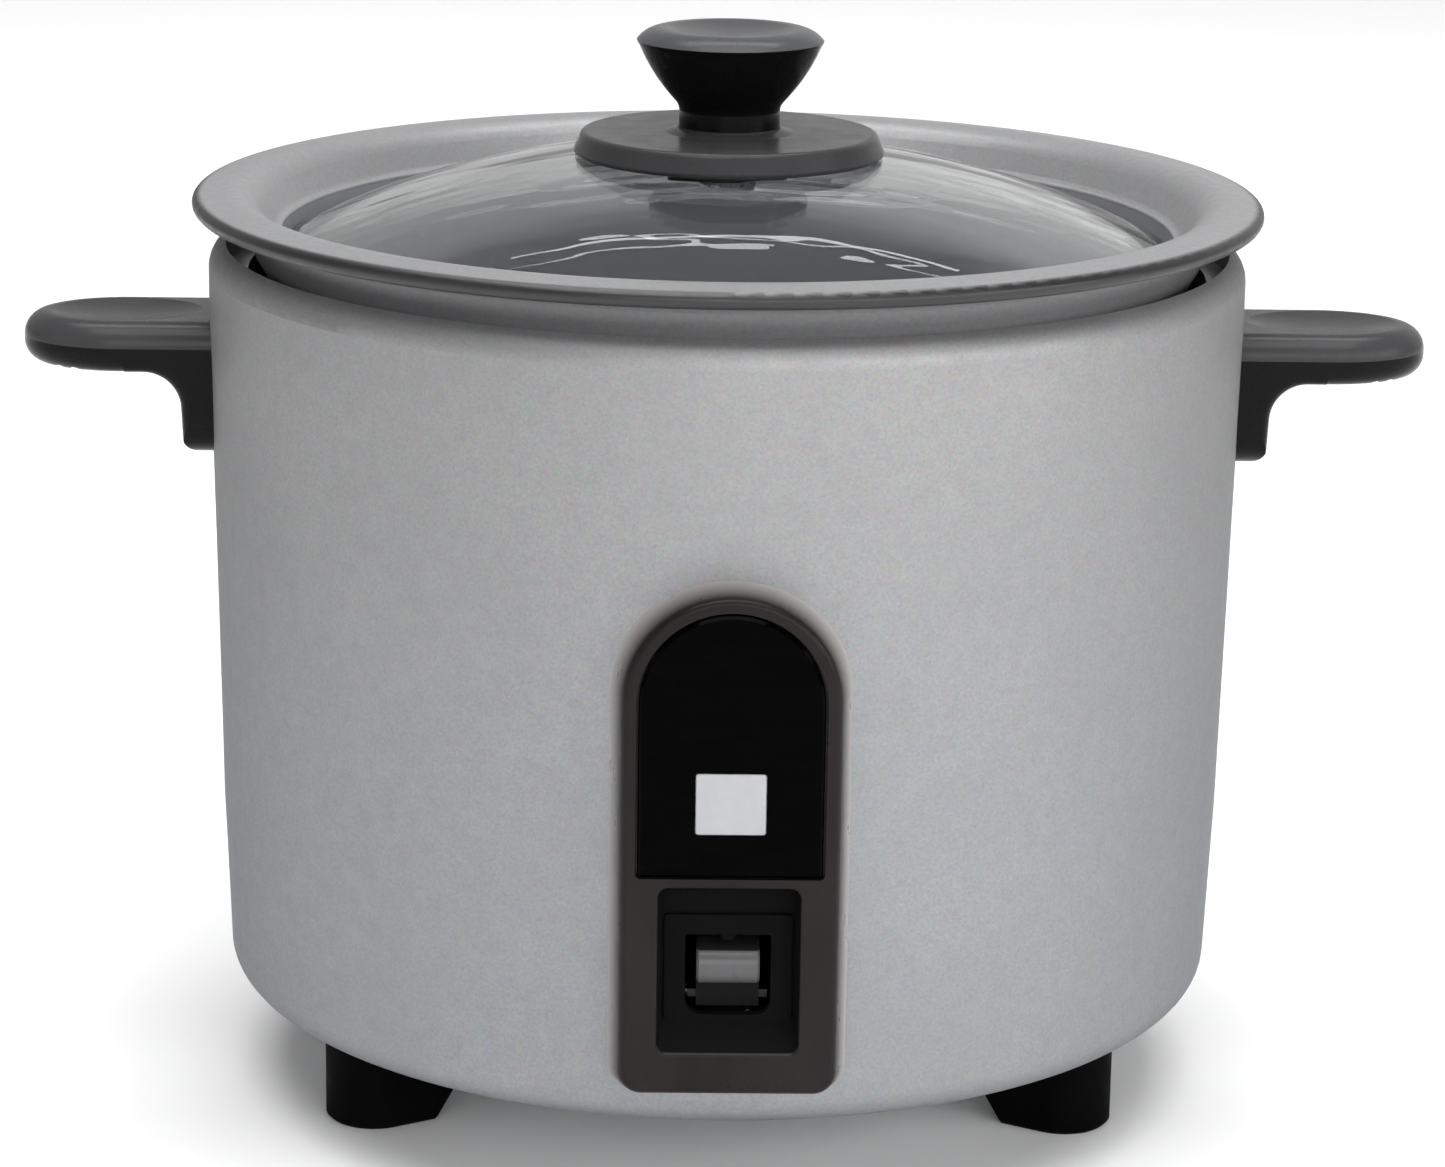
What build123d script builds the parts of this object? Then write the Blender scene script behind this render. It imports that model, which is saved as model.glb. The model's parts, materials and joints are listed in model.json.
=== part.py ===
from build123d import *
import os
from math import cos, radians, sin, sqrt

# A small rice cooker, in millimetres. +Z is up, -Y is the front, and the origin is the middle of the
# plane that the three feet stand on.

# ---- driving dimensions -------------------------------------------------------------------------
TIP_X = 114.5            # handle tip, from the axis: half the overall width
TOP_Z = 174.0            # top of the lid's knob: the overall height
FACE_Y = -89.8           # flat face of the front bezel
REAR_Y = 91.8            # rear end of the inlet housing

# Body shell: a drawn steel cup with a rolled-in rim
SHELL_R = 84.0
SHELL_FOOT_R = 81.7      # outer radius just above the bottom edge: the wall has a slight draft
SHELL_Z0 = 17.5
SHELL_TOP_Z = 140.1
SHELL_T = 0.8
MOUTH_R = 81.25          # inner edge of the rolled rim
LIP_Z0 = 135.0
SHELL_FLANGE_R = 70.0

# Bottom plate and feet
PLATE_R = 74.0
PLATE_T = 1.0
FOOT_PITCH_R = 64.85
FOOT_R = 8.0
FOOT_ANGLES = (-30.0, -150.0, 90.0)

# Inner case, which carries the heater and guides the pot
CASE_R = 78.5
CASE_T = 0.8
CASE_FLOOR_Z = 47.2
CASE_HOLE_R = 32.0

# Heater plate and its element
HEATER_Z0 = 55.0
HEATER_Z1 = 62.0
HEATER_R = 66.0
SENSOR_HOLE_R = 16.5
ELEMENT_R = 45.0
ELEMENT_WIRE_R = 3.5
ELEMENT_GAP = 20.0       # degrees from the rear to each end of the element
SPACER_PITCH_R = 58.0
SPACER_ANGLES = (90.0, 210.0, 330.0)

# Thermostat and magnet
CAGE_R = 20.0
CAGE_FLOOR_Z = 46.2
CAP_R = 15.0
CAP_T = 0.8
CAP_FLANGE_Z = 54.0
FERRITE_Z = 57.0
MAGNET_TOP_Z = 52.58
MAGNET_R = 9.0
MAGNET_BORE_R = 4.5
ROD_R = 2.5

# Inner pot
POT_FLOOR_T = 2.0
POT_IN_R = 69.8
POT_SEAT_Z = 137.6       # ledge that the lid rests on
POT_SEAT_R = 72.2
FLANGE_Z = 147.9
FLANGE_R = 86.5
BEAD_R = 1.3

# Glass lid: part of a sphere
DOME_R = 172.0
DOME_TOP_Z = 155.2
GLASS_T = 3.0
GLASS_R = 71.6
GLASS_HOLE_R = 4.0
GASKET_T = 0.6
DOME_Z = DOME_TOP_Z - DOME_R

# Knob
KNOB_R = 15.1
NECK_R = 8.15
NECK_Z = 158.2
DISC_R = 25.1
DISC_TOP_Z = 157.3
WASHER_R = 13.2
WASHER_Z0 = 149.2
KNOB_SCREW_R = 2.0
KNOB_SCREW_LENGTH = 17.0

# Front bezel, label plate and window
ARCH_Z = 87.0            # centre of the bezel's round top
BEZEL_W = 16.0           # half width of the face
BEZEL_SKIRT_W = 18.0     # half width where the bezel meets the shell
BEZEL_Z0 = 26.6
BEZEL_DEPTH = 8.8
BEZEL_CORNER = 3.4
BEZEL_WALL = 1.8
LABEL_W = 13.7
LABEL_Z0 = 60.7
LABEL_T = 1.4
LABEL_GAP = 0.35
WINDOW_W = 10.5
WINDOW_H = 9.5
WINDOW_Z = 72.05
POCKET_W = 21.3
POCKET_Z0 = 32.6
POCKET_Z1 = 58.9
POCKET_FLOOR_Y = -85.2
POCKET_WALL = 1.2
KEYHOLE_W = 12.8
KEYHOLE_Z0 = 37.7
KEYHOLE_Z1 = 50.4

# Lever, key and switch
PIVOT_Y = -38.0
PIVOT_Z = 40.0
PIN_R = 1.5
RUNNING = 0.05           # radial clearance of a running fit
KEY_W = 9.4
KEY_Z0 = 42.4
KEY_Z1 = 48.6
KEY_FRONT_Y = -87.4
SWITCH_Y = -58.0
PLUNGER_R = 1.0

# Appliance inlet at the rear
INLET_Z = 34.0
INLET_W = 34.0
INLET_H = 24.0
SOCKET_W = 28.0
SOCKET_H = 18.0
SOCKET_FLOOR_Y = 73.0
INLET_PIN_R = 2.0
INLET_PIN_X = 8.0
INLET_PIN_END_Y = 89.0

# Wiring
LEAD_R = 1.1
LEAD_BEND = 4.0

# Handles
TAB_W = 27.0
TAB_Z0 = 118.7
TAB_Z1 = 126.9
TAB_TOP_ROUND = 3.9
TAB_LOW_ROUND = 3.4
TAB_END = 16.5           # length of the tab's rounded end
DISH_X0 = 85.4           # thumb rest: inner end, outer end, width and depth
DISH_X1 = 110.2
DISH_W = 18.6
DISH_DEPTH = 1.4
STEM_Z0 = 105.0


# ---- helpers ------------------------------------------------------------------------------------
def polygon(corners, rounds=()):
    """A flat face from its corners; rounds lists (corner number, fillet radius)."""
    face = make_face(Polyline(*corners, close=True))
    for number, radius in rounds:
        x, y = corners[number]
        face = fillet(face.vertices().sort_by_distance((x, y, 0))[0], radius)
    return face


def spin(face):
    """Turns a (radius, height) face about the Z axis."""
    return revolve(Plane.XZ * face, Axis.Z)


def turned(corners, rounds=()):
    return spin(polygon(corners, rounds))


def ring(r_in, r_out, z0, z1):
    return turned([(r_in, z0), (r_out, z0), (r_out, z1), (r_in, z1)])


def rod(r, z0, z1, x=0.0, y=0.0):
    return Pos(x, y, z0) * Cylinder(r, z1 - z0, align=(Align.CENTER, Align.CENTER, Align.MIN))


def block(x0, x1, y0, y1, z0, z1):
    middle = Pos((x0 + x1) / 2, (y0 + y1) / 2, (z0 + z1) / 2)
    return middle * Box(abs(x1 - x0), abs(y1 - y0), abs(z1 - z0))


def polar(radius, angle):
    return radius * cos(radians(angle)), radius * sin(radians(angle))


def upright(face, y0, y1):
    """Extrudes a face drawn in X and Z from y0 to y1."""
    return extrude(Plane(origin=(0, y1, 0), x_dir=(1, 0, 0), z_dir=(0, -1, 0)) * face, y1 - y0)


def screw(head_r, head_h, shank_r, length):
    """A pan-head screw with a cross recess. Its head is below the XY plane and its shank above."""
    head = Pos(0, 0, -head_h) * Cylinder(head_r, head_h, align=(Align.CENTER, Align.CENTER, Align.MIN))
    head = fillet(head.edges().group_by(Axis.Z)[0], head_h * 0.45)
    recess_z = -head_h * 0.75
    arm = head_r * 1.1
    slot = head_r * 0.26
    cross = Pos(0, 0, recess_z) * (Box(arm, slot, head_h * 0.5) + Box(slot, arm, head_h * 0.5))
    shank = Cylinder(shank_r, length, align=(Align.CENTER, Align.CENTER, Align.MIN))
    return (head - cross) + shank


def spring(radius, wire, z0, z1, turns):
    """A round-wire coil between two heights."""
    height = z1 - z0 - 2 * wire
    path = Pos(0, 0, z0 + wire) * Helix(height / turns, height, radius)
    start = Plane(origin=path @ 0, z_dir=path % 0)
    return sweep(start * Circle(wire), path, is_frenet=True)


def lead(points, radius, bend):
    """An insulated wire along straight runs joined by arcs."""
    path = FilletPolyline(*points, radius=bend)
    return sweep(Plane(origin=path @ 0, z_dir=path % 0) * Circle(radius), path)


def joined(*shapes):
    """Several separate solids as one node."""
    return Compound(children=[solid for shape in shapes for solid in shape.solids()])


# ---- body ---------------------------------------------------------------------------------------
def shell_outline(inset):
    """The cup's outer face, or the same face moved in by the sheet's thickness."""
    top = SHELL_TOP_Z - inset
    corners = [
        (0, SHELL_Z0 + inset),
        (SHELL_FOOT_R - inset, SHELL_Z0 + inset),
        (82.8 - inset, 48.0),
        (83.6 - inset, 100.0),
        (SHELL_R - inset, 128.0),
        (SHELL_R - inset, top),
        (0, top),
    ]
    return polygon(corners, [(1, 5.0 - inset), (5, 4.5 - inset)])


def shell_core():
    """Everything inside the shell's outer face, for parts that fit against it."""
    return spin(shell_outline(0.0))


def outer_shell():
    section = shell_outline(0.0) - shell_outline(SHELL_T)
    section -= polygon([(0, LIP_Z0), (MOUTH_R, LIP_Z0), (MOUTH_R, 150), (0, 150)])
    section -= polygon([(0, 0), (SHELL_FLANGE_R, 0), (SHELL_FLANGE_R, 30), (0, 30)])
    lip_top = SHELL_TOP_Z - 0.8
    lip = [
        (MOUTH_R, LIP_Z0),
        (MOUTH_R + SHELL_T, LIP_Z0),
        (MOUTH_R + SHELL_T, lip_top),
        (MOUTH_R, lip_top),
    ]
    section += polygon(lip)
    shell = spin(section)
    shell -= block(-13, 13, -90, -70, 32, 96)
    half_w = INLET_W / 2 - 1
    half_h = INLET_H / 2 - 1
    return shell - block(-half_w, half_w, 70, 90, INLET_Z - half_h, INLET_Z + half_h)


def bottom_plate():
    plate = rod(PLATE_R, SHELL_Z0 - PLATE_T, SHELL_Z0)
    vent = Pos(34, 0, SHELL_Z0 - PLATE_T / 2) * extrude(SlotOverall(18, 4.4), PLATE_T, both=True)
    for step in range(12):
        plate -= Rot(0, 0, 15 + 30 * step) * vent
    return plate


def foot(angle):
    """A foot with a round outer end and an inner face that slants in towards the top."""
    height = SHELL_Z0 - PLATE_T
    plan = Pos(FOOT_PITCH_R, 0) * Circle(FOOT_R)
    plan += Pos((FOOT_PITCH_R + 46.5) / 2, 0) * Rectangle(FOOT_PITCH_R - 46.5, 2 * FOOT_R)
    body = extrude(plan, height)
    body = chamfer(body.faces().sort_by(Axis.Z)[0].edges(), 0.7)
    slant = polygon([(40, -1), (57.6, -1), (57.6, 0.6), (46.4, height + 0.1), (40, height + 0.1)])
    body -= extrude(Plane.XZ * slant, 20, both=True)
    body -= rod(3.4, -1, 9, FOOT_PITCH_R)
    return Rot(0, 0, angle) * body


def foot_screws():
    return joined(*[
        Rot(0, 0, a) * Pos(FOOT_PITCH_R, 0, 9) * screw(3.0, 2.0, 1.6, 12) for a in FOOT_ANGLES
    ])


def bottom_screws():
    seat_z = SHELL_Z0 - PLATE_T
    return joined(*[
        Rot(0, 0, a) * Pos(72, 0, seat_z) * screw(2.4, 1.3, 1.3, 5) for a in (0, 60, 120, 180)
    ])


# ---- handles ------------------------------------------------------------------------------------
def thumb_rest():
    """A long shallow dish: an arc turned about an axis above the tab and parallel to it."""
    half_l = (DISH_X1 - DISH_X0) / 2
    axis_h = DISH_W**2 / (8 * DISH_DEPTH) - DISH_DEPTH / 2
    arc_r = (half_l**2 + DISH_DEPTH**2) / (2 * DISH_DEPTH)
    end_x = half_l + 1.5
    end_h = axis_h + DISH_DEPTH - arc_r + sqrt(arc_r**2 - end_x**2)
    arc = ThreePointArc((-end_x, end_h), (0, axis_h + DISH_DEPTH), (end_x, end_h))
    section = make_face(arc + Polyline((end_x, end_h), (end_x, 0), (-end_x, 0), (-end_x, end_h)))
    return Pos((DISH_X0 + DISH_X1) / 2, 0, TAB_Z1 + axis_h) * revolve(section, Axis.X)


def handle_right():
    end_x = TIP_X - TAB_END
    plan = Pos(end_x, 0) * Ellipse(TAB_END, TAB_W / 2)
    plan += Pos((end_x + 76) / 2, 0) * Rectangle(end_x - 76, TAB_W)
    tab = Pos(0, 0, TAB_Z0) * extrude(plan, TAB_Z1 - TAB_Z0)
    rim = tab.edges().filter_by(lambda e: e.center().X > 77)
    tab = fillet(rim.group_by(Axis.Z)[-1], TAB_TOP_ROUND)
    rim = tab.edges().filter_by(lambda e: e.center().X > 77)
    tab = fillet(rim.group_by(Axis.Z)[0], TAB_LOW_ROUND)
    stem_top = TAB_Z1 - TAB_TOP_ROUND
    corners = [
        (76, STEM_Z0),
        (87.7, STEM_Z0),
        (88.3, TAB_Z0 + 0.2),
        (97, TAB_Z0 + 0.2),
        (97, stem_top),
        (76, stem_top),
    ]
    side = polygon(corners, [(1, 3.2), (2, 6.0)])
    half_w = TAB_W / 2
    stem = extrude(Plane.XZ * side, half_w, both=True)
    middle = stem.faces().filter_by(lambda f: abs(f.center().Y) < 1)
    outer = middle.filter_by(lambda f: f.center().X > 83 and f.center().Z < TAB_Z0)
    long_edges = [e for f in outer for e in f.edges() if abs(e.center().Y) > half_w - 0.1]
    stem = fillet(long_edges, 2.0)
    end_view = [(-half_w, STEM_Z0), (half_w, STEM_Z0), (half_w, TAB_Z1), (-half_w, TAB_Z1)]
    stem &= extrude(Plane.YZ * polygon(end_view, [(0, 7.0), (1, 7.0)]), 100)
    handle = tab + stem - thumb_rest()
    for step in range(5):
        handle -= Pos(97.5 + 2.6 * step, 0, TAB_Z0 - 0.15) * Rot(90, 0, 0) * Cylinder(0.8, 21)
    return handle - shell_core()


def handle_screws():
    """Four screws from inside the shell, two for each handle."""
    pairs = []
    for turn in (0, 180):
        for z, length in ((110.5, 4.0), (120.5, 9.0)):
            place = Rot(0, 0, turn) * Pos(82.6, 0, z) * Rot(0, 90, 0)
            pairs.append(place * screw(3.0, 1.6, 1.5, length))
    return joined(*pairs)


# ---- front bezel --------------------------------------------------------------------------------
def arch(half_w, z0, corner, grow=0.0):
    """A face with a round top and small round lower corners, centred on the front."""
    w = half_w + grow
    low = z0 - grow
    lower = polygon([(-w, low), (w, low), (w, ARCH_Z), (-w, ARCH_Z)], [(0, corner), (1, corner)])
    return lower + Pos(0, ARCH_Z) * Circle(w)


def drafted_arch(y_front, depth, half_w, z0, corner, spread):
    """A solid between the arch at the face and the same arch grown by spread at the back."""
    front = Plane(origin=(0, y_front, 0), x_dir=(1, 0, 0), z_dir=(0, -1, 0)) * arch(half_w, z0, corner)
    back = Plane(origin=(0, y_front + depth, 0), x_dir=(1, 0, 0), z_dir=(0, -1, 0)) * arch(
        half_w, z0, corner, spread
    )
    return loft([front, back])


def pocket_shape(grow=0.0):
    """The key's recess: a level top, drafted sides and a lower wall that slopes up to the back."""
    def frame(y, half_w, z0, z1, corner):
        plane = Plane(origin=(0, y, 0), x_dir=(1, 0, 0), z_dir=(0, -1, 0))
        w = half_w + grow
        corners = [(-w, z0 - grow), (w, z0 - grow), (w, z1 + grow), (-w, z1 + grow)]
        return plane * polygon(corners, [(n, corner) for n in range(4)])

    front = frame(FACE_Y - 0.001, POCKET_W / 2, POCKET_Z0, POCKET_Z1, 1.6)
    back = frame(POCKET_FLOOR_Y + grow, POCKET_W / 2 - 0.9, POCKET_Z0 + 4.4, POCKET_Z1, 1.2)
    return loft([front, back])


def keyhole(y0, y1, grow=0.0):
    w = KEYHOLE_W / 2 + grow
    z0 = KEYHOLE_Z0 - grow
    z1 = KEYHOLE_Z1 + grow
    outline = polygon([(-w, z0), (w, z0), (w, z1), (-w, z1)], [(0, 2.4), (1, 2.4), (2, 0.5), (3, 0.5)])
    return upright(outline, y0, y1)


def front_bezel():
    spread = BEZEL_SKIRT_W - BEZEL_W
    body = drafted_arch(FACE_Y, BEZEL_DEPTH, BEZEL_W, BEZEL_Z0, BEZEL_CORNER, spread)
    body = fillet(body.faces().sort_by(Axis.Y)[0].outer_wire().edges(), 1.1)
    hollow = drafted_arch(
        FACE_Y + 2.6,
        BEZEL_DEPTH - 2.6,
        BEZEL_W - BEZEL_WALL,
        BEZEL_Z0 + BEZEL_WALL,
        BEZEL_CORNER - 1.2,
        spread * 0.7,
    )
    cup = pocket_shape(POCKET_WALL)
    posts = upright(Pos(0, 98.4) * Circle(3.2) + Pos(0, 29.6) * Circle(2.0), FACE_Y + 2, -80)
    body -= hollow - cup - posts
    body -= pocket_shape()
    frame = keyhole(POCKET_FLOOR_Y - 0.55, POCKET_FLOOR_Y + 0.1, 3.1)
    body += frame
    nub = Pos(0, KEYHOLE_Z1 + 0.2) * Circle(1.2)
    nub = upright(nub, POCKET_FLOOR_Y - 0.2, POCKET_FLOOR_Y + POCKET_WALL)
    body -= keyhole(POCKET_FLOOR_Y - 2, POCKET_FLOOR_Y + 8) - nub
    at_face = body.edges().filter_by(lambda e: abs(e.center().Y - FACE_Y) < 0.01)
    mouth = at_face.filter_by(lambda e: abs(e.center().X) < POCKET_W / 2 + 0.1)
    body = fillet(mouth.filter_by(lambda e: POCKET_Z0 - 0.1 < e.center().Z < POCKET_Z1 + 0.1), 0.4)
    body -= upright(arch(LABEL_W, LABEL_Z0, 0.8, LABEL_GAP), FACE_Y - 1, FACE_Y + LABEL_T)
    body -= upright(Pos(0, WINDOW_Z) * Rectangle(WINDOW_W, WINDOW_H), FACE_Y, FACE_Y + 4)
    return body - shell_core()


def label_plate():
    """The gloss black plate, proud of the bezel's face by a hair, with a hole for the window."""
    plate = upright(arch(LABEL_W, LABEL_Z0, 0.5), FACE_Y - 0.3, FACE_Y + LABEL_T)
    plate = chamfer(plate.faces().sort_by(Axis.Y)[0].outer_wire().edges(), 0.45)
    opening = Pos(0, WINDOW_Z) * RectangleRounded(WINDOW_W, WINDOW_H, 0.5)
    return plate - upright(opening, FACE_Y - 2, FACE_Y + 3)


def lamp_window():
    outline = Pos(0, WINDOW_Z) * RectangleRounded(WINDOW_W, WINDOW_H, 0.5)
    lens = upright(outline, FACE_Y - 0.2, FACE_Y + LABEL_T)
    rear = upright(Pos(0, WINDOW_Z) * Rectangle(WINDOW_W, WINDOW_H), FACE_Y + LABEL_T, FACE_Y + 2.4)
    return chamfer(lens.faces().sort_by(Axis.Y)[0].edges(), 0.15) + rear


def lamp_holder():
    """An open box behind the window, with two ribs that grip the lamp."""
    y0 = FACE_Y + 2.6
    y1 = -81.6
    box = block(-6.6, 6.6, y0, y1, WINDOW_Z - 6.4, WINDOW_Z + 6.4)
    box -= block(-5.6, 5.6, y0 - 1, y1 - 1, WINDOW_Z - 5.4, WINDOW_Z + 5.4)
    for z in (WINDOW_Z - 3.2, WINDOW_Z + 2.4):
        box += block(-2.6, 2.6, -84.2, y1 - 0.5, z, z + 0.8)
    return box - lamp_glass()


def lamp_glass():
    bulb = Pos(0, -85.0, WINDOW_Z) * Cylinder(1.9, 8.4)
    return fillet(bulb.edges().group_by(Axis.Z)[-1], 1.5)


def bezel_screws():
    """Two screws from inside the shell into the bezel's posts."""
    places = ((98.4, -81.9), (29.6, -80.9))
    return joined(*[Pos(0, y, z) * Rot(90, 0, 0) * screw(2.6, 1.3, 1.1, 4.6) for z, y in places])


# ---- lever, key and switch ----------------------------------------------------------------------
def lever_arm():
    arm = block(-3, 3, -82.6, 3, PIVOT_Z - 0.6, PIVOT_Z + 0.6)
    arm = fillet(arm.edges().filter_by(Axis.Z), 2.0)
    for side in (-1, 1):
        arm += block(side * 3, side * 4, -72, -4, PIVOT_Z - 0.6, PIVOT_Z + 2.2)
    arm += block(-4, 4, -72, -4, PIVOT_Z - 0.6, PIVOT_Z + 0.6)
    arm += block(-6, 6, -82.6, -79.5, PIVOT_Z - 0.6, PIVOT_Z + 0.6)
    arm += Pos(0, PIVOT_Y, PIVOT_Z) * Rot(0, 90, 0) * Cylinder(3.2, 10.4)
    return arm - Pos(0, PIVOT_Y, PIVOT_Z) * Rot(0, 90, 0) * Cylinder(PIN_R + RUNNING, 20)


def lever_key():
    """The moulded key: a round-nosed bar on a short root that grips the lever's front end."""
    nose_r = (KEY_Z1 - KEY_Z0) / 2
    nose_y = KEY_FRONT_Y + nose_r
    nose_z = (KEY_Z0 + KEY_Z1) / 2
    half = KEY_W / 2
    bar = Pos(0, nose_y, nose_z) * Rot(0, 90, 0) * Cylinder(nose_r, KEY_W)
    bar += block(-half, half, nose_y, -80.6, KEY_Z0, KEY_Z1)
    bar = chamfer(bar.edges().filter_by(GeomType.CIRCLE), 0.35)
    root = block(-half, half, -83.6, -78.9, PIVOT_Z - 1.6, KEY_Z0 + 1)
    return bar + root - lever_arm()


def lever_bracket():
    top_z = CASE_FLOOR_Z
    bracket = block(-9, 9, -54, -33.5, top_z - 1.2, top_z)
    for side in (-1, 1):
        ear = block(side * 5.6, side * 6.8, -43, -33, PIVOT_Z - 4, top_z)
        bracket += ear
    return bracket - pivot_pin()


def pivot_pin():
    pin = Pos(0, PIVOT_Y, PIVOT_Z) * Rot(0, 90, 0) * Cylinder(PIN_R, 16.4)
    head = Pos(-8.7, PIVOT_Y, PIVOT_Z) * Rot(0, 90, 0) * Cylinder(2.4, 1.0)
    return pin + head


def bracket_screws():
    seat_z = CASE_FLOOR_Z - 1.2
    return joined(*[Pos(x, -49.5, seat_z) * screw(2.4, 1.3, 1.2, 4) for x in (-5.5, 5.5)])


def switch_bolts():
    """Two long screws that hold the switch against its bracket."""
    return joined(*[
        Pos(3.2, SWITCH_Y + dy, 29.4) * Rot(0, -90, 0) * screw(1.9, 1.1, 1.1, 9.2) for dy in (-4.8, 4.8)
    ])


def switch_body():
    body = block(-3.2, 3.2, SWITCH_Y - 9.9, SWITCH_Y + 9.9, 26.2, 36.4)
    body = chamfer(body.edges().filter_by(Axis.X), 0.8)
    return body - rod(PLUNGER_R + RUNNING, 32, 37, 0, SWITCH_Y)


def switch_plunger():
    plunger = rod(PLUNGER_R, 34.2, 39.2, 0, SWITCH_Y)
    return chamfer(plunger.edges().group_by(Axis.Z)[-1], 0.3)


def switch_terminals():
    return joined(*[
        block(-0.4, 0.4, y - 2.4, y + 2.4, 21.4, 26.2) for y in (SWITCH_Y - 6, SWITCH_Y + 6)
    ])


def switch_bracket():
    upright_leg = block(-4.4, -3.2, SWITCH_Y - 10, SWITCH_Y + 10, SHELL_Z0, 35)
    return upright_leg + block(-13, -3.2, SWITCH_Y - 10, SWITCH_Y + 10, SHELL_Z0, SHELL_Z0 + 1.2)


# ---- heater and thermostat ----------------------------------------------------------------------
def inner_case():
    """A drawn cup with a flange that hangs from the shell's rolled lip."""
    r_in = CASE_R - CASE_T
    floor_top = CASE_FLOOR_Z + CASE_T
    corners = [
        (CASE_HOLE_R, CASE_FLOOR_Z),
        (CASE_R, CASE_FLOOR_Z),
        (CASE_R, LIP_Z0 - CASE_T),
        (MOUTH_R + SHELL_T, LIP_Z0 - CASE_T),
        (MOUTH_R + SHELL_T, LIP_Z0),
        (r_in, LIP_Z0),
        (r_in, floor_top),
        (CASE_HOLE_R, floor_top),
    ]
    case = turned(corners, [(1, 3.0), (6, 2.2)])
    for side in (-1, 1):
        x, y = polar(ELEMENT_R, 90 + side * ELEMENT_GAP)
        case -= rod(5.0, CASE_FLOOR_Z - 1, floor_top + 1, x, y)
    return case


def element():
    """A tubular ring, open at the rear, with both ends turned down."""
    start = 90 + ELEMENT_GAP
    sweep_deg = 360 - 2 * ELEMENT_GAP
    z = HEATER_Z0
    section = Plane.XZ * (Pos(ELEMENT_R, z) * Circle(ELEMENT_WIRE_R))
    arc = Rot(0, 0, start) * revolve(section, Axis.Z, revolution_arc=sweep_deg)
    for side in (-1, 1):
        x, y = polar(ELEMENT_R, 90 + side * ELEMENT_GAP)
        arc += Pos(x, y, z) * Sphere(ELEMENT_WIRE_R)
        arc += rod(ELEMENT_WIRE_R, z - 9, z, x, y)
        arc += rod(1.2, z - 12.5, z - 9, x, y)
    return arc


def heater_plate():
    corners = [
        (SENSOR_HOLE_R, HEATER_Z0),
        (HEATER_R, HEATER_Z0),
        (HEATER_R, HEATER_Z1),
        (SENSOR_HOLE_R, HEATER_Z1),
    ]
    return turned(corners, [(1, 1.5), (2, 2.0)]) - element()


def heater_spacers():
    spacers = []
    for angle in SPACER_ANGLES:
        x, y = polar(SPACER_PITCH_R, angle)
        spacers.append(rod(4.2, CASE_FLOOR_Z + CASE_T, HEATER_Z0, x, y))
    return joined(*spacers)


def heater_screws():
    return joined(*[
        Pos(*polar(SPACER_PITCH_R, angle), CASE_FLOOR_Z) * screw(3.2, 1.8, 1.7, 12)
        for angle in SPACER_ANGLES
    ])


def sensor_cage():
    """A cup under the heater plate that the thermostat's spring stands in."""
    t = CASE_T
    corners = [
        (ROD_R + RUNNING, CAGE_FLOOR_Z),
        (CAGE_R, CAGE_FLOOR_Z),
        (CAGE_R, HEATER_Z0 - t),
        (CAGE_R + 5, HEATER_Z0 - t),
        (CAGE_R + 5, HEATER_Z0),
        (CAGE_R - t, HEATER_Z0),
        (CAGE_R - t, CAGE_FLOOR_Z + t),
        (ROD_R + RUNNING, CAGE_FLOOR_Z + t),
    ]
    return turned(corners, [(1, 1.5), (6, 0.7)])


def thermostat_cap():
    top = HEATER_Z1
    corners = [
        (0, top - CAP_T),
        (CAP_R - CAP_T, top - CAP_T),
        (CAP_R - CAP_T, CAP_FLANGE_Z),
        (CAP_R + 1, CAP_FLANGE_Z),
        (CAP_R + 1, CAP_FLANGE_Z + CAP_T),
        (CAP_R, CAP_FLANGE_Z + CAP_T),
        (CAP_R, top),
        (0, top),
    ]
    return turned(corners, [(6, 0.7)])


def ferrite_disc():
    return ring(MAGNET_BORE_R, MAGNET_R, FERRITE_Z, HEATER_Z1 - CAP_T)


def magnet():
    return ring(MAGNET_BORE_R, MAGNET_R, MAGNET_TOP_Z - 4, MAGNET_TOP_Z)


def magnet_carrier():
    """A dish under the magnet on a rod with a round end, which stands just above the lever."""
    dish_z = MAGNET_TOP_Z - 4
    end_z = PIVOT_Z + 0.6 + 0.3
    carrier = rod(MAGNET_R + 0.4, dish_z - 1.2, dish_z) + rod(ROD_R, end_z + ROD_R, dish_z - 1.2)
    return carrier + Pos(0, 0, end_z + ROD_R) * Sphere(ROD_R)


# ---- wiring -------------------------------------------------------------------------------------
def thermal_fuse():
    fuse = Pos(56, 0, 42.5) * Rot(90, 0, 0) * Cylinder(2.0, 11)
    fuse = fillet(fuse.edges(), 0.5)
    return fuse + Pos(56, 0, 42.5) * Rot(90, 0, 0) * Cylinder(0.6, 17)


def fuse_clip():
    """A strap that holds the fuse up against the inner case's floor."""
    seat = Pos(56, 0, 42.5) * Rot(90, 0, 0)
    strap = seat * Cylinder(2.8, 6) + block(52, 60, -3, 3, CASE_FLOOR_Z - 2.2, CASE_FLOOR_Z)
    return strap - seat * Cylinder(2.0, 7)


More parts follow.
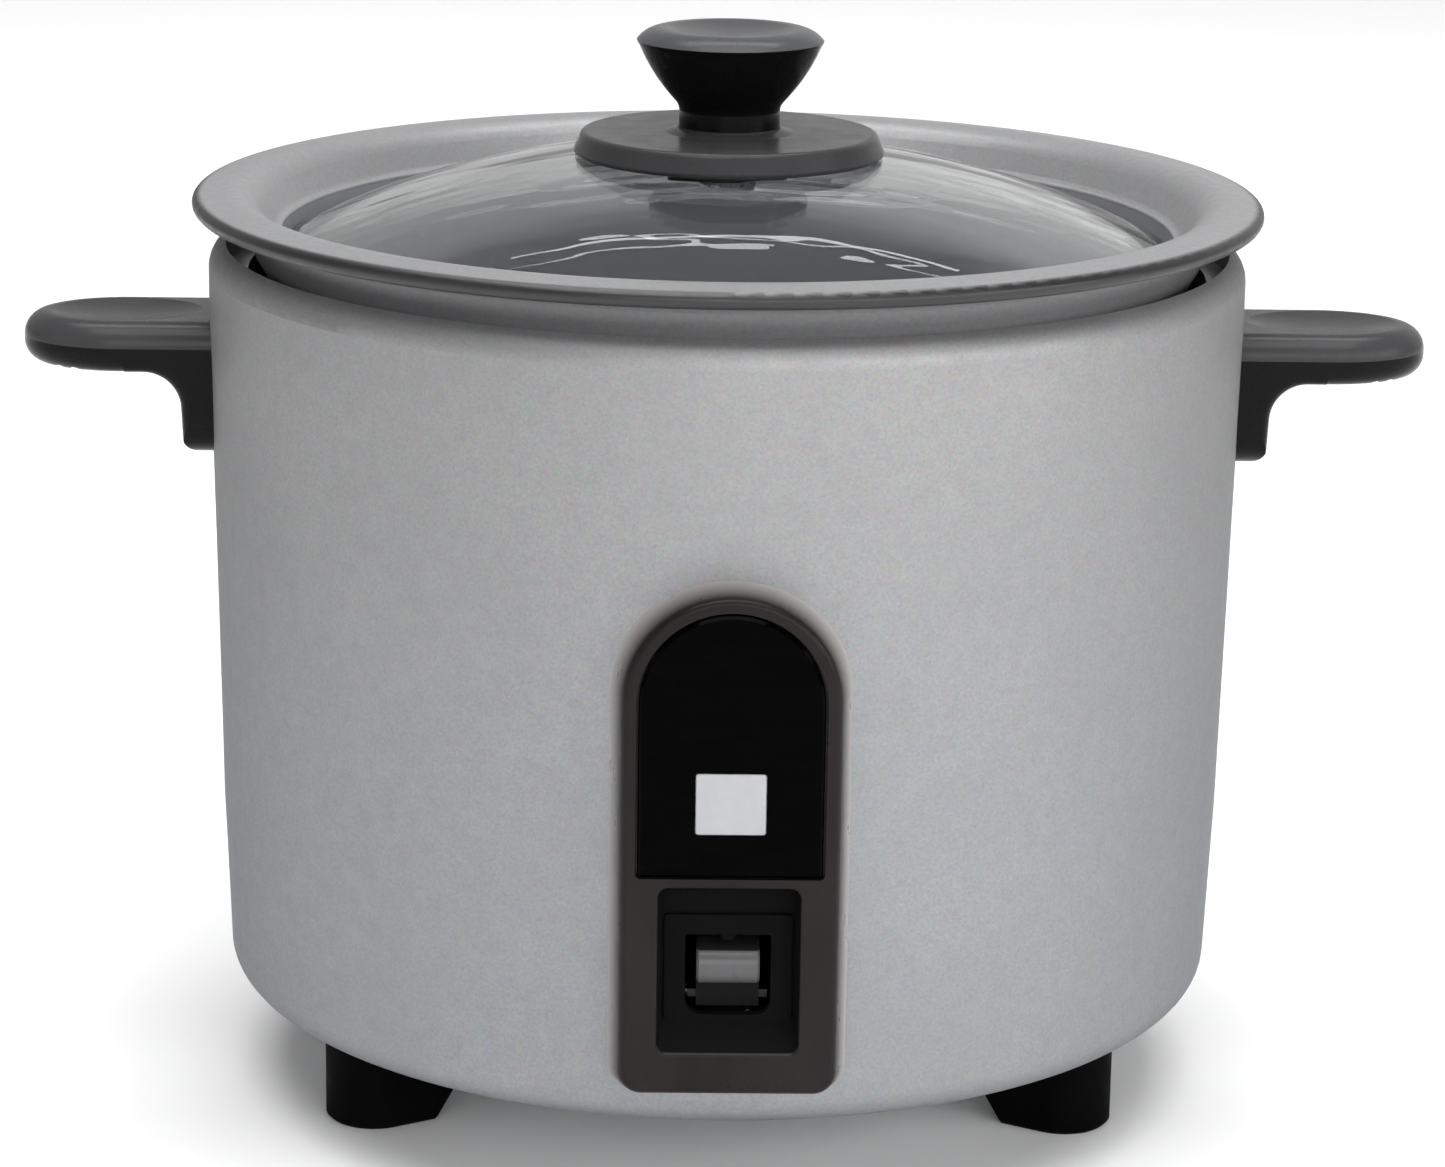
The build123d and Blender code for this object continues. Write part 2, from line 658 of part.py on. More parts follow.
def lead_routes():
    """The path of every insulated wire, by its name."""
    term_x, term_y = polar(ELEMENT_R, 90 - ELEMENT_GAP)
    term_z = HEATER_Z0 - 12.6
    tail_y = 62.9
    fuse_x = 56.0
    fuse_z = 42.5
    tab_z = 20.2
    return {
        "lead_neutral": [
            (-INLET_PIN_X, tail_y, INLET_Z),
            (-INLET_PIN_X, 56, INLET_Z),
            (-term_x, term_y, 32),
            (-term_x, term_y, term_z),
        ],
        "lead_live": [
            (INLET_PIN_X, tail_y, INLET_Z),
            (INLET_PIN_X, 56, INLET_Z),
            (44, 40, 36),
            (fuse_x, 20, fuse_z),
            (fuse_x, 8.6, fuse_z),
        ],
        "lead_fused": [
            (fuse_x, -8.6, fuse_z),
            (fuse_x, -20, fuse_z),
            (40, -50, 26),
            (14, -65, tab_z),
            (0, SWITCH_Y - 6, tab_z),
        ],
        "lead_heater": [
            (0, SWITCH_Y + 6, tab_z),
            (14, -47, tab_z),
            (34, -14, 26),
            (30, 26, 28),
            (term_x, term_y, 31),
            (term_x, term_y, term_z),
        ],
    }


# ---- appliance inlet ----------------------------------------------------------------------------
def inlet_housing():
    """A flange against the shell and a hood around the socket."""
    half_h = INLET_H / 2
    flange = upright(Pos(0, INLET_Z) * RectangleRounded(52, INLET_H, 6), 66, 85)
    hood = upright(Pos(0, INLET_Z) * RectangleRounded(INLET_W, INLET_H, 4), 66, REAR_Y)
    hood = fillet(hood.faces().sort_by(Axis.Y)[-1].outer_wire().edges(), 1.2)
    flange = fillet(flange.faces().sort_by(Axis.Y)[-1].outer_wire().edges(), 1.0)
    outside = flange + hood - shell_core()
    core = Pos(0, INLET_Z) * RectangleRounded(INLET_W - 2, INLET_H - 2, 3)
    housing = outside + upright(core, SOCKET_FLOOR_Y - 2.5, 84)
    socket = Pos(0, INLET_Z) * RectangleRounded(SOCKET_W, SOCKET_H, 2.5)
    return housing - upright(socket, SOCKET_FLOOR_Y, REAR_Y + 1)


def inlet_pin(x):
    """A round contact pin with a collar in the socket's floor and a thinner tail for the wire."""
    def bar(r, y0, y1):
        return Pos(x, (y0 + y1) / 2, INLET_Z) * Rot(90, 0, 0) * Cylinder(r, y1 - y0)

    pin = bar(INLET_PIN_R, SOCKET_FLOOR_Y, INLET_PIN_END_Y)
    pin = chamfer(pin.edges().sort_by(Axis.Y)[-1], 0.6)
    return pin + bar(2.6, SOCKET_FLOOR_Y - 2.5, SOCKET_FLOOR_Y) + bar(1.3, 63, SOCKET_FLOOR_Y - 2.5)


def inlet_screws():
    return joined(*[
        Pos(x, 85, INLET_Z) * Rot(90, 0, 0) * screw(2.8, 1.6, 1.5, 9) for x in (-21.5, 21.5)
    ])


# ---- pot and lid --------------------------------------------------------------------------------
def inner_pot():
    """A thick-walled pot with a flat floor, a ledge for the lid, and a flange with a rolled edge."""
    z0 = HEATER_Z1
    bead_x = FLANGE_R - BEAD_R
    bead_z = FLANGE_Z - 1.7
    corners = [
        (0, z0),
        (70.6, z0),
        (71.8, 130.0),
        (76.6, 138.0),
        (77.5, 143.5),
        (80.0, FLANGE_Z - 1.6),
        (bead_x, bead_z - 0.5),
        (bead_x, bead_z + BEAD_R),
        (77.6, FLANGE_Z + 0.4),
        (73.2, 141.9),
        (POT_SEAT_R, 141.5),
        (POT_SEAT_R, POT_SEAT_Z),
        (POT_IN_R, POT_SEAT_Z),
        (68.8, z0 + POT_FLOOR_T),
        (0, z0 + POT_FLOOR_T),
    ]
    rounds = [
        (1, 4.5),
        (2, 8.0),
        (3, 1.5),
        (4, 3.0),
        (5, 1.5),
        (8, 6.0),
        (9, 1.6),
        (10, 0.4),
        (12, 0.6),
        (13, 3.0),
    ]
    section = polygon(corners, rounds) + Pos(bead_x, bead_z) * Circle(BEAD_R)
    return spin(section)


def dome(radius):
    return Pos(0, 0, DOME_Z) * Sphere(radius)


def lid_glass():
    disc = rod(GLASS_R, POT_SEAT_Z, DOME_TOP_Z + 1)
    glass = disc & dome(DOME_R)
    glass -= dome(DOME_R - GLASS_T)
    edge = glass.edges().filter_by(GeomType.CIRCLE).filter_by(lambda e: abs(e.radius - GLASS_R) < 0.01)
    glass = fillet(edge, 0.9)
    return glass - rod(GLASS_HOLE_R, 140, 160)


def knob_gasket():
    return (ring(KNOB_SCREW_R, DISC_R - 0.8, 150, 158) & dome(DOME_R + GASKET_T)) - dome(DOME_R)


def knob_base():
    """The disc under the knob, with a short flared collar."""
    corners = [
        (0, 150),
        (DISC_R, 150),
        (DISC_R, 154.3),
        (23.9, DISC_TOP_Z),
        (10.4, DISC_TOP_Z),
        (NECK_R + 0.2, 157.9),
        (NECK_R + 0.2, NECK_Z),
        (0, NECK_Z),
    ]
    return turned(corners, [(3, 1.0), (4, 0.8)]) - dome(DOME_R + GASKET_T)


def lid_knob():
    """A flared knob with a rounded shoulder and a dished top."""
    brow_z = TOP_Z - 2.6
    edge_r = 9.9
    edge_z = TOP_Z - 0.12
    dish_z = TOP_Z - 1.5
    dish_depth = edge_z - dish_z
    sphere_r = (edge_r**2 + dish_depth**2) / (2 * dish_depth)
    half_r = edge_r / 2
    half_z = dish_z + sphere_r - sqrt(sphere_r**2 - half_r**2)
    hole_z = WASHER_Z0 + KNOB_SCREW_LENGTH
    outline = (
        Line((KNOB_SCREW_R, NECK_Z), (NECK_R, NECK_Z))
        + Line((NECK_R, NECK_Z), (NECK_R, 160.8))
        + ThreePointArc((NECK_R, 160.8), (8.35, 161.6), (8.9, 162.4))
        + ThreePointArc((8.9, 162.4), (12.2, 166.6), (14.75, brow_z))
        + ThreePointArc((14.75, brow_z), (14.98, TOP_Z - 2.3), (KNOB_R, TOP_Z - 1.95))
        + ThreePointArc((KNOB_R, TOP_Z - 1.95), (13.6, TOP_Z - 0.65), (10.8, TOP_Z))
        + ThreePointArc((10.8, TOP_Z), (10.3, TOP_Z - 0.02), (edge_r, edge_z))
        + ThreePointArc((edge_r, edge_z), (half_r, half_z), (0, dish_z))
        + Line((0, dish_z), (0, hole_z))
        + Line((0, hole_z), (KNOB_SCREW_R, hole_z))
        + Line((KNOB_SCREW_R, hole_z), (KNOB_SCREW_R, NECK_Z))
    )
    return spin(make_face(outline))


def knob_washer():
    washer = turned([(0, WASHER_Z0), (WASHER_R, WASHER_Z0), (WASHER_R, 153), (0, 153)], [(1, 1.0)])
    return washer & dome(DOME_R - GLASS_T)


def knob_screw():
    return Pos(0, 0, WASHER_Z0) * screw(4.6, 2.0, KNOB_SCREW_R, KNOB_SCREW_LENGTH)


# ---- assembly -----------------------------------------------------------------------------------
def build():
    """Every node, by its name, with each screw's hole cut in what it passes through."""
    nodes = {
        "outer_shell": outer_shell(),
        "bottom_plate": bottom_plate(),
        "foot_front_right": foot(FOOT_ANGLES[0]),
        "foot_front_left": foot(FOOT_ANGLES[1]),
        "foot_rear": foot(FOOT_ANGLES[2]),
        "foot_screws": foot_screws(),
        "bottom_screws": bottom_screws(),
        "handle_right": handle_right(),
        "handle_left": Rot(0, 0, 180) * handle_right(),
        "handle_screws": handle_screws(),
        "front_bezel": front_bezel(),
        "label_plate": label_plate(),
        "lamp_window": lamp_window(),
        "lamp_holder": lamp_holder(),
        "indicator_lamp": lamp_glass(),
        "bezel_screws": bezel_screws(),
        "lever_arm": lever_arm(),
        "lever_key": lever_key(),
        "lever_bracket": lever_bracket(),
        "pivot_pin": pivot_pin(),
        "bracket_screws": bracket_screws(),
        "switch_body": switch_body(),
        "switch_plunger": switch_plunger(),
        "switch_terminals": switch_terminals(),
        "switch_bracket": switch_bracket(),
        "switch_bolts": switch_bolts(),
        "inner_case": inner_case(),
        "heater_plate": heater_plate(),
        "heating_element": element(),
        "heater_spacers": heater_spacers(),
        "heater_screws": heater_screws(),
        "sensor_cage": sensor_cage(),
        "sensor_spring": spring(15.2, 0.45, CAGE_FLOOR_Z + CASE_T, CAP_FLANGE_Z, 2.5),
        "thermostat_cap": thermostat_cap(),
        "ferrite_disc": ferrite_disc(),
        "magnet": magnet(),
        "magnet_carrier": magnet_carrier(),
        "magnet_spring": spring(3.4, 0.35, MAGNET_TOP_Z - 4, HEATER_Z1 - CAP_T, 6),
        "thermal_fuse": thermal_fuse(),
        "fuse_clip": fuse_clip(),
        "inlet_housing": inlet_housing(),
        "inlet_pins": joined(inlet_pin(-INLET_PIN_X), inlet_pin(INLET_PIN_X)),
        "inlet_screws": inlet_screws(),
        "inner_pot": inner_pot(),
        "lid_glass": lid_glass(),
        "knob_gasket": knob_gasket(),
        "knob_base": knob_base(),
        "lid_knob": lid_knob(),
        "knob_washer": knob_washer(),
        "knob_screw": knob_screw(),
    }
    for name, route in lead_routes().items():
        nodes[name] = lead(route, LEAD_R, LEAD_BEND)
    holes = {
        "foot_screws": ["foot_front_right", "foot_front_left", "foot_rear", "bottom_plate"],
        "bottom_screws": ["bottom_plate", "outer_shell"],
        "handle_screws": ["handle_right", "handle_left", "outer_shell"],
        "bezel_screws": ["front_bezel", "outer_shell"],
        "bracket_screws": ["lever_bracket", "inner_case"],
        "switch_bolts": ["switch_body", "switch_bracket"],
        "heater_screws": ["heater_spacers", "heater_plate", "inner_case"],
        "inlet_screws": ["inlet_housing", "outer_shell"],
        "inlet_pins": ["inlet_housing"],
        "knob_screw": ["knob_washer", "knob_base"],
    }
    for fastener, parts in holes.items():
        for part in parts:
            nodes[part] = nodes[part] - nodes[fastener]
    return nodes


os.makedirs("parts", exist_ok=True)
for node_name, shape in build().items():
    export_step(shape, f"parts/{node_name}.step")
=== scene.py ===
import json
from math import cos, radians, sin

import bpy
from mathutils import Matrix, Vector


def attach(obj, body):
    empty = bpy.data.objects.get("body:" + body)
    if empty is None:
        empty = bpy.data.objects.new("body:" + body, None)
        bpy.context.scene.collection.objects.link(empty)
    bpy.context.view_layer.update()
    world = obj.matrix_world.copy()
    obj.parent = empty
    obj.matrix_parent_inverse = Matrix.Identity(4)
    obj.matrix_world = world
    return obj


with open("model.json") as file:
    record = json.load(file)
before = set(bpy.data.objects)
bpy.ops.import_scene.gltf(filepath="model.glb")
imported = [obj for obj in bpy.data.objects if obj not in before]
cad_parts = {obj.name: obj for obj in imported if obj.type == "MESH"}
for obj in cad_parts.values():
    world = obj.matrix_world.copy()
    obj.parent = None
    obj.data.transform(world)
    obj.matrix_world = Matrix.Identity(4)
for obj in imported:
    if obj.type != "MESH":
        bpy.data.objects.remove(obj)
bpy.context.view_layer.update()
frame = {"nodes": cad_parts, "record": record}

# A small rice cooker. Sizes below are in millimetres and become metres as the meshes are made.
MM = 0.001


# ---- camera, floor and lights -------------------------------------------------------------------
CAMERA_DISTANCE = 686.15     # from the axis, over the floor
CAMERA_HEIGHT = 265.7
CAMERA_TURN = 1.109          # degrees that the object is turned from square on
CAMERA_TILT = 15.03          # degrees that the camera looks down
CAMERA_ROLL = 0.857
LENS = 106.4
WALL_TOP = (0.48, 0.66)      # sines of the heights between which the wall behind fades out
WALL_FRONT = (0.1, 0.7)      # how far round to the back it fades in
WALL_SIDES = (-0.35, 0.4)    # from its dimmer left to its brighter right


def add_camera():
    """Almost square to the front, from a little above."""
    data = bpy.data.cameras.new("camera")
    data.sensor_width = 36
    data.lens = LENS
    data.clip_start = 0.05
    camera = bpy.data.objects.new("camera", data)
    bpy.context.scene.collection.objects.link(camera)
    turn = radians(CAMERA_TURN)
    place = Vector((-CAMERA_DISTANCE * sin(turn), -CAMERA_DISTANCE * cos(turn), CAMERA_HEIGHT)) * MM
    camera.matrix_world = (
        Matrix.Translation(place)
        @ Matrix.Rotation(-turn, 4, "Z")
        @ Matrix.Rotation(radians(90 - CAMERA_TILT), 4, "X")
        @ Matrix.Rotation(radians(CAMERA_ROLL), 4, "Z")
    )
    bpy.context.scene.camera = camera


def add_softbox(name, place, target, width, height, power):
    """A soft rectangular light at one point, facing another, in metres."""
    data = bpy.data.lights.new(name, "AREA")
    data.shape = "RECTANGLE"
    data.size = width
    data.size_y = height
    data.energy = power
    light = bpy.data.objects.new(name, data)
    light.location = place
    light.rotation_euler = (Vector(target) - Vector(place)).to_track_quat("-Z", "Y").to_euler()
    bpy.context.scene.collection.objects.link(light)


def add_world(dim, bright):
    """A dim room with a pale wall behind the object, up to 40 degrees high and brighter on the right."""
    world = bpy.data.worlds.new("studio")
    world.use_nodes = True
    tree = world.node_tree
    way = tree.nodes.new("ShaderNodeTexCoord")
    split = tree.nodes.new("ShaderNodeSeparateXYZ")
    tree.links.new(way.outputs["Generated"], split.inputs["Vector"])

    def ramp(axis, start, stop, low, high):
        node = tree.nodes.new("ShaderNodeMapRange")
        node.interpolation_type = "SMOOTHSTEP"
        for socket, value in zip(("From Min", "From Max", "To Min", "To Max"), (start, stop, low, high)):
            node.inputs[socket].default_value = value
        tree.links.new(split.outputs[axis], node.inputs["Value"])
        return node.outputs["Result"]

    def maths(operation, a, b):
        node = tree.nodes.new("ShaderNodeMath")
        node.operation = operation
        tree.links.new(a, node.inputs[0])
        if isinstance(b, float):
            node.inputs[1].default_value = b
        else:
            tree.links.new(b, node.inputs[1])
        return node.outputs["Value"]

    wall = maths("MULTIPLY", ramp("Z", *WALL_TOP, bright, 0.0), ramp("Y", *WALL_FRONT, 0.0, 1.0))
    wall = maths("MULTIPLY", wall, ramp("X", *WALL_SIDES, 0.75, 1.45))
    tree.links.new(maths("ADD", wall, dim), tree.nodes["Background"].inputs["Strength"])
    tree.nodes["Background"].inputs["Color"].default_value = (1, 1, 1, 1)
    bpy.context.scene.world = world


def add_floor():
    """A plain pale sheet of paper, wide enough to fill every view."""
    size = 6.0
    mesh = bpy.data.meshes.new("floor")
    corners = [(-size, -size, 0), (size, -size, 0), (size, size, 0), (-size, size, 0)]
    mesh.from_pydata(corners, [], [(0, 1, 2, 3)])
    floor = bpy.data.objects.new("floor", mesh)
    bpy.context.scene.collection.objects.link(floor)
    paper = Finish("paper", {"Base Color": (0.93, 0.93, 0.93, 1), "Roughness": 0.9})
    paper.bump(paper.noise(0.8), 0.02)
    mesh.materials.append(paper.material)


# ---- finishes -----------------------------------------------------------------------------------
# Where the look changes on one node.
HANDLE_PARTING_Z = 123.0     # the parting line round each handle
LID_Z = 140.0                # over the handles and under the knob's disc
KNOB_SEAM_Z = 158.2          # where the knob stands on the disc's collar
KNOB_CAP_Z = 172.05          # the parting line between the knob's body and its cap
SKY_Z = 200.0                # over everything
RECESS_X = 10.7              # half the width of the key's recess
RECESS_Y = (-89.4, -70.0)
RECESS_Z = (32.6, 59.2)
BEZEL_Y = (-95.0, 0.0)       # the bezel, and not the inlet at the back
SKIRT_Y = (-88.8, -81.5)     # from the bezel's face back to the shell
KEY_NOSE_Z = (42.9, 48.0)
# where the zinc sheet behind the key is painted dark as shade
ZINC_SHADE_Y = (-86.0, -64.0)
POT_CORNER_Z = (63.0, 66.0)  # heights of the pot's bottom corner, and the radii between its two faces
POT_CORNER_R = (67.5, 70.2)
POT_SEAT_R = 72.5            # the ledge that the lid rests on
POT_SEAT_Z = 137.3
POT_INSIDE_Z = 141.0
POT_LIP_R = (84.9, 85.8)


class Finish:
    """A material with one Principled shader. Sizes are in millimetres."""

    def __init__(self, name, values):
        self.material = bpy.data.materials.new(name)
        self.material.use_nodes = True
        self.tree = self.material.node_tree
        self.shader = self.tree.nodes["Principled BSDF"]
        self.place = self.add("ShaderNodeTexCoord").outputs["Object"]
        for socket, value in values.items():
            self.shader.inputs[socket].default_value = value

    def add(self, kind, **settings):
        node = self.tree.nodes.new(kind)
        for setting, value in settings.items():
            setattr(node, setting, value)
        return node

    def feed(self, socket, value):
        """Links an output to a socket, or sets the socket to a value."""
        if isinstance(value, bpy.types.NodeSocket):
            self.tree.links.new(value, socket)
        else:
            socket.default_value = value

    def stretched(self, stretch):
        mapping = self.add("ShaderNodeMapping")
        self.feed(mapping.inputs["Vector"], self.place)
        mapping.inputs["Scale"].default_value = stretch
        return mapping.outputs["Vector"]

    def noise(self, size, detail=2.0, stretch=None, distortion=0.0):
        """Soft noise whose blobs are about this size."""
        node = self.add("ShaderNodeTexNoise")
        self.feed(node.inputs["Vector"], self.stretched(stretch) if stretch else self.place)
        node.inputs["Scale"].default_value = 1 / (size * MM)
        node.inputs["Detail"].default_value = detail
        node.inputs["Distortion"].default_value = distortion
        return node.outputs["Fac"]

    def cells(self, size, output="Color"):
        """Random values, one to each cell of about this size."""
        node = self.add("ShaderNodeTexVoronoi")
        self.feed(node.inputs["Vector"], self.place)
        node.inputs["Scale"].default_value = 1 / (size * MM)
        return node.outputs[output]

    def along(self, axis):
        """The place along an axis, in metres."""
        split = self.add("ShaderNodeSeparateXYZ")
        self.feed(split.inputs[0], self.place)
        return split.outputs[axis]

    def within(self, axis, low, high):
        """1 between two places along an axis, in millimetres, and 0 elsewhere."""
        above = self.maths("GREATER_THAN", self.along(axis), low * MM)
        return self.maths("MULTIPLY", above, self.maths("LESS_THAN", self.along(axis), high * MM))

    def radius(self):
        """The distance from the upright axis, in metres."""
        flat = self.stretched((1, 1, 0))
        node = self.add("ShaderNodeVectorMath", operation="LENGTH")
        self.feed(node.inputs[0], flat)
        return node.outputs["Value"]

    def span(self, value, low, high, to_low=0.0, to_high=1.0):
        """A value's range turned into another range."""
        node = self.add("ShaderNodeMapRange")
        self.feed(node.inputs["Value"], value)
        for socket, number in zip(("From Min", "From Max", "To Min", "To Max"), (low, high, to_low, to_high)):
            node.inputs[socket].default_value = number
        return node.outputs["Result"]

    def maths(self, operation, a, b):
        node = self.add("ShaderNodeMath", operation=operation)
        self.feed(node.inputs[0], a)
        self.feed(node.inputs[1], b)
        return node.outputs["Value"]

    def blend(self, factor, a, b, mode="MIX"):
        """One colour over another."""
        node = self.add("ShaderNodeMix", data_type="RGBA", blend_type=mode)
        self.feed(node.inputs["Factor"], factor)
        self.feed(node.inputs[6], (*a, 1) if isinstance(a, tuple) else a)
        self.feed(node.inputs[7], (*b, 1) if isinstance(b, tuple) else b)
        return node.outputs[2]

    def edges(self, size):
        """0 on flat faces and 1 along the edges."""
        bevel = self.add("ShaderNodeBevel", samples=4)
        bevel.inputs["Radius"].default_value = size * MM
        shape = self.add("ShaderNodeNewGeometry")
        dot = self.add("ShaderNodeVectorMath", operation="DOT_PRODUCT")
        self.feed(dot.inputs[0], bevel.outputs["Normal"])
        self.feed(dot.inputs[1], shape.outputs["Normal"])
        return self.span(dot.outputs["Value"], 0.995, 0.85)

    def colour(self, value):
        self.feed(self.shader.inputs["Base Color"], value)

    def rough(self, value, low, high):
        """Roughness that wanders between two values."""
        self.feed(self.shader.inputs["Roughness"], self.span(value, 0.3, 0.7, low, high))

    def gloss_but(self, mask, dull):
        """Gloss that wanders, with one dull roughness where the mask is 1."""
        gloss = self.span(self.noise(5, 4.0), 0.3, 0.7, 0.26, 0.36)
        masked = self.maths("MULTIPLY", mask, dull)
        self.feed(self.shader.inputs["Roughness"], self.maths("MAXIMUM", gloss, masked))

    def bump(self, height, distance, strength=1.0, under=None):
        """Relief this deep, in millimetres."""
        node = self.add("ShaderNodeBump")
        node.inputs["Distance"].default_value = distance * MM
        node.inputs["Strength"].default_value = strength
        self.feed(node.inputs["Height"], height)
        if under:
            self.feed(node.inputs["Normal"], under)
        self.feed(self.shader.inputs["Normal"], node.outputs["Normal"])
        return node.outputs["Normal"]


def silver_paint():
    """Satin paint with metal flakes in it, darker and bluer towards the bottom as painted shade."""
    tint = (0.3, 0.3, 0.3, 1)
    paint = Finish("silver_paint", {"Metallic": 0.8, "Specular IOR Level": 0.1, "Specular Tint": tint})
    flakes = paint.cells(0.32)
    grain = paint.noise(0.5, 3.0)
    clouds = paint.noise(38, 3.0)
    # painted shade: the paint turns darker and bluer low on the shell and paler towards its top
    height = paint.span(paint.along("Z"), 0.06, 0.125)
    tone = paint.blend(height, (0.308, 0.317, 0.332), (0.330, 0.330, 0.330))
    tone = paint.blend(0.10, tone, flakes, "OVERLAY")
    tone = paint.blend(paint.span(grain, 0.35, 0.7, 0.0, 0.35), tone, (0.425, 0.425, 0.430))
    tone = paint.blend(paint.span(clouds, 0.35, 0.7, 0.0, 0.25), tone, (0.275, 0.280, 0.289))
    paint.colour(tone)
    paint.rough(paint.noise(3.0, 4.0), 0.5, 0.6)
    paint.bump(paint.noise(0.7, 3.0), 0.03, 0.7, under=paint.bump(paint.noise(4.5, 1.0), 0.02, 0.5))
    return paint.material


def moulded(name, colour, low, high, grain=0.6, depth=0.012, specular=0.5):
    """Moulded plastic: even colour with a faint flow, fine grain, and a paler colour along its edges."""
    plastic = Finish(name, {"Specular IOR Level": specular})
    flow = plastic.noise(16, 4.0, stretch=(1, 1, 0.4), distortion=0.6)
    tone = plastic.blend(plastic.span(flow, 0.35, 0.7), colour, tuple(c * 1.4 + 0.001 for c in colour))
    # the colour is made paler along every edge
    paler_edges = plastic.span(plastic.edges(0.4), 0, 1, 0, 0.35)
    plastic.tone = plastic.blend(paler_edges, tone, tuple(c * 2 + 0.003 for c in colour))
    plastic.colour(plastic.tone)
    plastic.rough(plastic.noise(5, 4.0), low, high)
    plastic.bump(plastic.noise(grain, 3.0), depth)
    return plastic


def phenolic():
    """Glossy black handles and knob, with painted sheen: greyer on the handles' tops, the knob's cap and its
    disc.
    """
    resin = moulded("phenolic", (0.0028, 0.0026, 0.0028), 0.20, 0.30, specular=0.11)
    # painted sheen: the greyer handle tops, knob disc and knob cap stand in for grazing reflections of the
    # bright backdrop
    tone = resin.blend(resin.within("Z", HANDLE_PARTING_Z, LID_Z), resin.tone, (0.048, 0.048, 0.050))
    tone = resin.blend(resin.within("Z", LID_Z, KNOB_SEAM_Z), tone, (0.042, 0.042, 0.044))
    resin.colour(resin.blend(resin.within("Z", KNOB_CAP_Z, SKY_Z), tone, (0.068, 0.069, 0.072)))
    return resin.material


def bezel_plastic():
    """Brown-black face, a skirt towards the shell painted paler as a reflection of the shell, and the inside
    of the key's recess painted darker as shade and rougher.
    """
    bezel = moulded("bezel_plastic", (0.0125, 0.0098, 0.0100), 0.26, 0.36, specular=0.12)
    # painted shade: the inside of the key's recess is near black
    recess = bezel.maths("MULTIPLY", bezel.within("X", -RECESS_X, RECESS_X), bezel.within("Z", *RECESS_Z))
    recess = bezel.maths("MULTIPLY", recess, bezel.within("Y", *RECESS_Y))
    # painted reflection: the skirt grows paler towards the shell, standing in for the shell reflected in it
    depth = bezel.span(bezel.along("Y"), SKIRT_Y[0] * MM, SKIRT_Y[1] * MM)
    skirt = bezel.maths("MULTIPLY", depth, bezel.within("Y", *BEZEL_Y))
    tone = bezel.blend(skirt, bezel.tone, (0.420, 0.402, 0.394))
    bezel.colour(bezel.blend(recess, tone, (0.0012, 0.0012, 0.0012)))
    bezel.gloss_but(recess, 0.8)
    return bezel.material


def key_black():
    """The key's nose is polished and painted mid grey as its highlight; its root behind the opening is rough
    and painted near black as shade.
    """
    # painted highlight: the nose is mid grey where the real key is black
    key = moulded("key_black", (0.085, 0.085, 0.088), 0.2, 0.3, specular=0.35)
    nose = key.within("Z", *KEY_NOSE_Z)
    # painted shade: the root behind the opening is near black
    root = key.maths("SUBTRACT", 1.0, nose)
    key.gloss_but(root, 0.9)
    key.colour(key.blend(root, key.tone, (0.0008, 0.0008, 0.0008)))
    return key.material


def metal(name, colour, low, high, brush=None, depth=0.01):
    """Bare metal, brushed along the short side of its grain."""
    bare = Finish(name, {"Metallic": 1.0})
    stain = bare.noise(14, 4.0)
    bare.colour(bare.blend(bare.span(stain, 0.35, 0.7), colour, tuple(c * 0.78 for c in colour)))
    grain = bare.noise(0.5, 3.0, stretch=brush)
    bare.rough(grain, low, high)
    bare.bump(grain, depth)
    return bare.material


def galvanised_steel():
    """Zinc-coated sheet with its spangle, painted dark behind the key as shade."""
    sheet = Finish("galvanised_steel", {"Metallic": 1.0})
    spangle = sheet.span(sheet.cells(6.0), 0.0, 1.0)
    tone = sheet.blend(0.35, (0.50, 0.51, 0.53), spangle, "OVERLAY")
    tone = sheet.blend(sheet.span(sheet.noise(9, 4.0), 0.4, 0.7, 0, 0.4), tone, (0.36, 0.37, 0.39))
    # painted shade: the zinc is near black behind the key opening
    sheet.colour(sheet.blend(sheet.within("Y", *ZINC_SHADE_Y), tone, (0.035, 0.034, 0.033)))
    sheet.rough(sheet.noise(2.5, 3.0), 0.32, 0.5)
    sheet.bump(sheet.noise(0.6, 3.0), 0.015)
    return sheet.material


def pot_coating():
    """Matt grey fluorocarbon coating on drawn aluminium, painted paler inside as light and painted dark along
    the lip as shade.
    """
    coat = Finish("pot_coating", {"Metallic": 0.15, "Specular IOR Level": 0.7})
    speckle = coat.cells(0.4)
    tone = coat.blend(0.10, (0.235, 0.235, 0.241), speckle, "OVERLAY")
    tone = coat.blend(coat.span(coat.noise(0.7, 3.0), 0.4, 0.7, 0, 0.35), tone, (0.31, 0.31, 0.315))
    tone = coat.blend(coat.span(coat.noise(30, 3.0), 0.35, 0.7, 0, 0.3), tone, (0.195, 0.195, 0.198))
    # painted light: the inside and the ledge the lid rests on are paler and bluer than the outside
    corner = [z * MM for z in POT_CORNER_Z] + [r * MM for r in POT_CORNER_R]
    inner = coat.maths("LESS_THAN", coat.radius(), coat.span(coat.along("Z"), *corner))
    inside = coat.maths("MULTIPLY", inner, coat.within("Z", POT_CORNER_Z[0], POT_INSIDE_Z))
    ledge = coat.maths("LESS_THAN", coat.radius(), POT_SEAT_R * MM)
    seat = coat.maths("MULTIPLY", ledge, coat.within("Z", POT_SEAT_Z, POT_INSIDE_Z))
    inside = coat.maths("MAXIMUM", inside, seat)
    tone = coat.blend(inside, tone, (0.30, 0.305, 0.33))
    # painted shade: the rolled lip is near black
    lip = coat.span(coat.radius(), POT_LIP_R[0] * MM, POT_LIP_R[1] * MM)
    coat.colour(coat.blend(lip, tone, (0.014, 0.014, 0.015)))
    coat.rough(coat.noise(2.0, 3.0), 0.36, 0.46)
    coat.bump(coat.noise(0.45, 3.0), 0.03, 0.7)
    return coat.material


